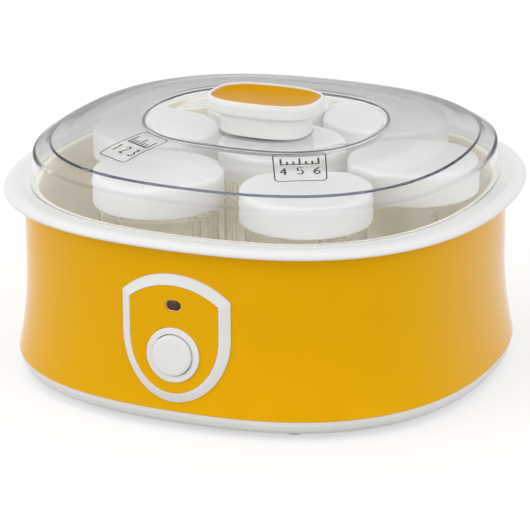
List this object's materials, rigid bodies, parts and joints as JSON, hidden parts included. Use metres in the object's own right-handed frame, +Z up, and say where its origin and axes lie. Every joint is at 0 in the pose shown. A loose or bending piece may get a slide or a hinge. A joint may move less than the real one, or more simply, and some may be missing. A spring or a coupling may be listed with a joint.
{
  "type": "yogurt maker",
  "caption": "Oblong electric yogurt maker with a flared coloured housing, a white collar, a clear lifting lid with a knob, and capped glass jars on a warm floor.",
  "frame": {"origin": "centre of the resting surface, straight under the knob", "axes": "+Z up, control panel faces -Y, +X to the right of someone facing the panel"},
  "size_m": [0.2674, 0.2534, 0.1431],
  "materials": {
    "shell_yellow": "gloss",
    "white_plastic": "gloss",
    "chamber_plastic": "satin",
    "lid_clear": "clear",
    "jar_glass": "clear",
    "cap_plastic": "semi-gloss",
    "foot_rubber": "matte",
    "heater_aluminium": "satin",
    "steel": "brushed",
    "element_sheath": "dull",
    "ceramic": "matte",
    "board_green": "satin",
    "switch_black": "matte",
    "lamp_red": "gloss",
    "window_brown": "gloss"
  },
  "bodies": {
    "housing": {"base_pan": "white_plastic", "body_shell": "shell_yellow", "collar": "white_plastic", "chamber": "chamber_plastic", "heat_spreader": "heater_aluminium", "heating_element": "element_sheath", "heater_cover": "steel", "heater_screws": "steel", "thermostat": "ceramic", "thermal_fuse": "ceramic", "fuse_clip": "steel", "control_board": "board_green", "push_switch": "switch_black", "led": "lamp_red", "led_window": "window_brown", "control_panel": "shell_yellow", "panel_frame": "white_plastic", "button_bezel": "white_plastic", "terminal_block": "ceramic", "cord_gland": "white_plastic", "base_screws": "steel", "front_left_foot": "foot_rubber", "front_right_foot": "foot_rubber", "rear_left_foot": "foot_rubber", "rear_right_foot": "foot_rubber"},
    "lid": {"lid_shell": "lid_clear", "knob_body": "white_plastic", "knob_insert": "shell_yellow", "knob_washer": "white_plastic", "knob_screw": "steel"},
    "power_button": {"power_button": "white_plastic"},
    "jar_1": {"jar_1": "jar_glass"},
    "cap_1": {"cap_1": "cap_plastic"},
    "jar_2": {"jar_2": "jar_glass"},
    "cap_2": {"cap_2": "cap_plastic"},
    "jar_3": {"jar_3": "jar_glass"},
    "cap_3": {"cap_3": "cap_plastic"},
    "jar_4": {"jar_4": "jar_glass"},
    "cap_4": {"cap_4": "cap_plastic"},
    "jar_5": {"jar_5": "jar_glass"},
    "cap_5": {"cap_5": "cap_plastic"},
    "jar_6": {"jar_6": "jar_glass"},
    "cap_6": {"cap_6": "cap_plastic"},
    "jar_7": {"jar_7": "jar_glass"},
    "cap_7": {"cap_7": "cap_plastic"}
  },
  "joints": [
    {"name": "lid_lift", "type": "slide", "parent": "housing", "child": "lid", "axis": [0, 0, 1], "range_m": [0, 0.3]},
    {"name": "button_press", "type": "slide", "parent": "housing", "child": "power_button", "axis": [0, 0.9971, -0.0767], "range_m": [0, 0.002], "stiffness_N_per_m": 400, "springref_m": -0.004},
    {"name": "jar_1_lift", "type": "slide", "parent": "housing", "child": "jar_1", "axis": [0, 0, 1], "range_m": [0, 0.135]},
    {"name": "cap_1_lift", "type": "slide", "parent": "jar_1", "child": "cap_1", "axis": [0, 0, 1], "range_m": [0, 0.06]},
    {"name": "jar_2_lift", "type": "slide", "parent": "housing", "child": "jar_2", "axis": [0, 0, 1], "range_m": [0, 0.135]},
    {"name": "cap_2_lift", "type": "slide", "parent": "jar_2", "child": "cap_2", "axis": [0, 0, 1], "range_m": [0, 0.06]},
    {"name": "jar_3_lift", "type": "slide", "parent": "housing", "child": "jar_3", "axis": [0, 0, 1], "range_m": [0, 0.135]},
    {"name": "cap_3_lift", "type": "slide", "parent": "jar_3", "child": "cap_3", "axis": [0, 0, 1], "range_m": [0, 0.06]},
    {"name": "jar_4_lift", "type": "slide", "parent": "housing", "child": "jar_4", "axis": [0, 0, 1], "range_m": [0, 0.135]},
    {"name": "cap_4_lift", "type": "slide", "parent": "jar_4", "child": "cap_4", "axis": [0, 0, 1], "range_m": [0, 0.06]},
    {"name": "jar_5_lift", "type": "slide", "parent": "housing", "child": "jar_5", "axis": [0, 0, 1], "range_m": [0, 0.135]},
    {"name": "cap_5_lift", "type": "slide", "parent": "jar_5", "child": "cap_5", "axis": [0, 0, 1], "range_m": [0, 0.06]},
    {"name": "jar_6_lift", "type": "slide", "parent": "housing", "child": "jar_6", "axis": [0, 0, 1], "range_m": [0, 0.135]},
    {"name": "cap_6_lift", "type": "slide", "parent": "jar_6", "child": "cap_6", "axis": [0, 0, 1], "range_m": [0, 0.06]},
    {"name": "jar_7_lift", "type": "slide", "parent": "housing", "child": "jar_7", "axis": [0, 0, 1], "range_m": [0, 0.135]},
    {"name": "cap_7_lift", "type": "slide", "parent": "jar_7", "child": "cap_7", "axis": [0, 0, 1], "range_m": [0, 0.06]}
  ],
  "couplings": [
    {"joint": "jar_1_lift", "follows": "lid_lift", "ratio": 0.45},
    {"joint": "cap_1_lift", "follows": "lid_lift", "ratio": 0.2},
    {"joint": "jar_2_lift", "follows": "lid_lift", "ratio": 0.45},
    {"joint": "cap_2_lift", "follows": "lid_lift", "ratio": 0.2},
    {"joint": "jar_3_lift", "follows": "lid_lift", "ratio": 0.45},
    {"joint": "cap_3_lift", "follows": "lid_lift", "ratio": 0.2},
    {"joint": "jar_4_lift", "follows": "lid_lift", "ratio": 0.45},
    {"joint": "cap_4_lift", "follows": "lid_lift", "ratio": 0.2},
    {"joint": "jar_5_lift", "follows": "lid_lift", "ratio": 0.45},
    {"joint": "cap_5_lift", "follows": "lid_lift", "ratio": 0.2},
    {"joint": "jar_6_lift", "follows": "lid_lift", "ratio": 0.45},
    {"joint": "cap_6_lift", "follows": "lid_lift", "ratio": 0.2},
    {"joint": "jar_7_lift", "follows": "lid_lift", "ratio": 0.45},
    {"joint": "cap_7_lift", "follows": "lid_lift", "ratio": 0.2}
  ]
}
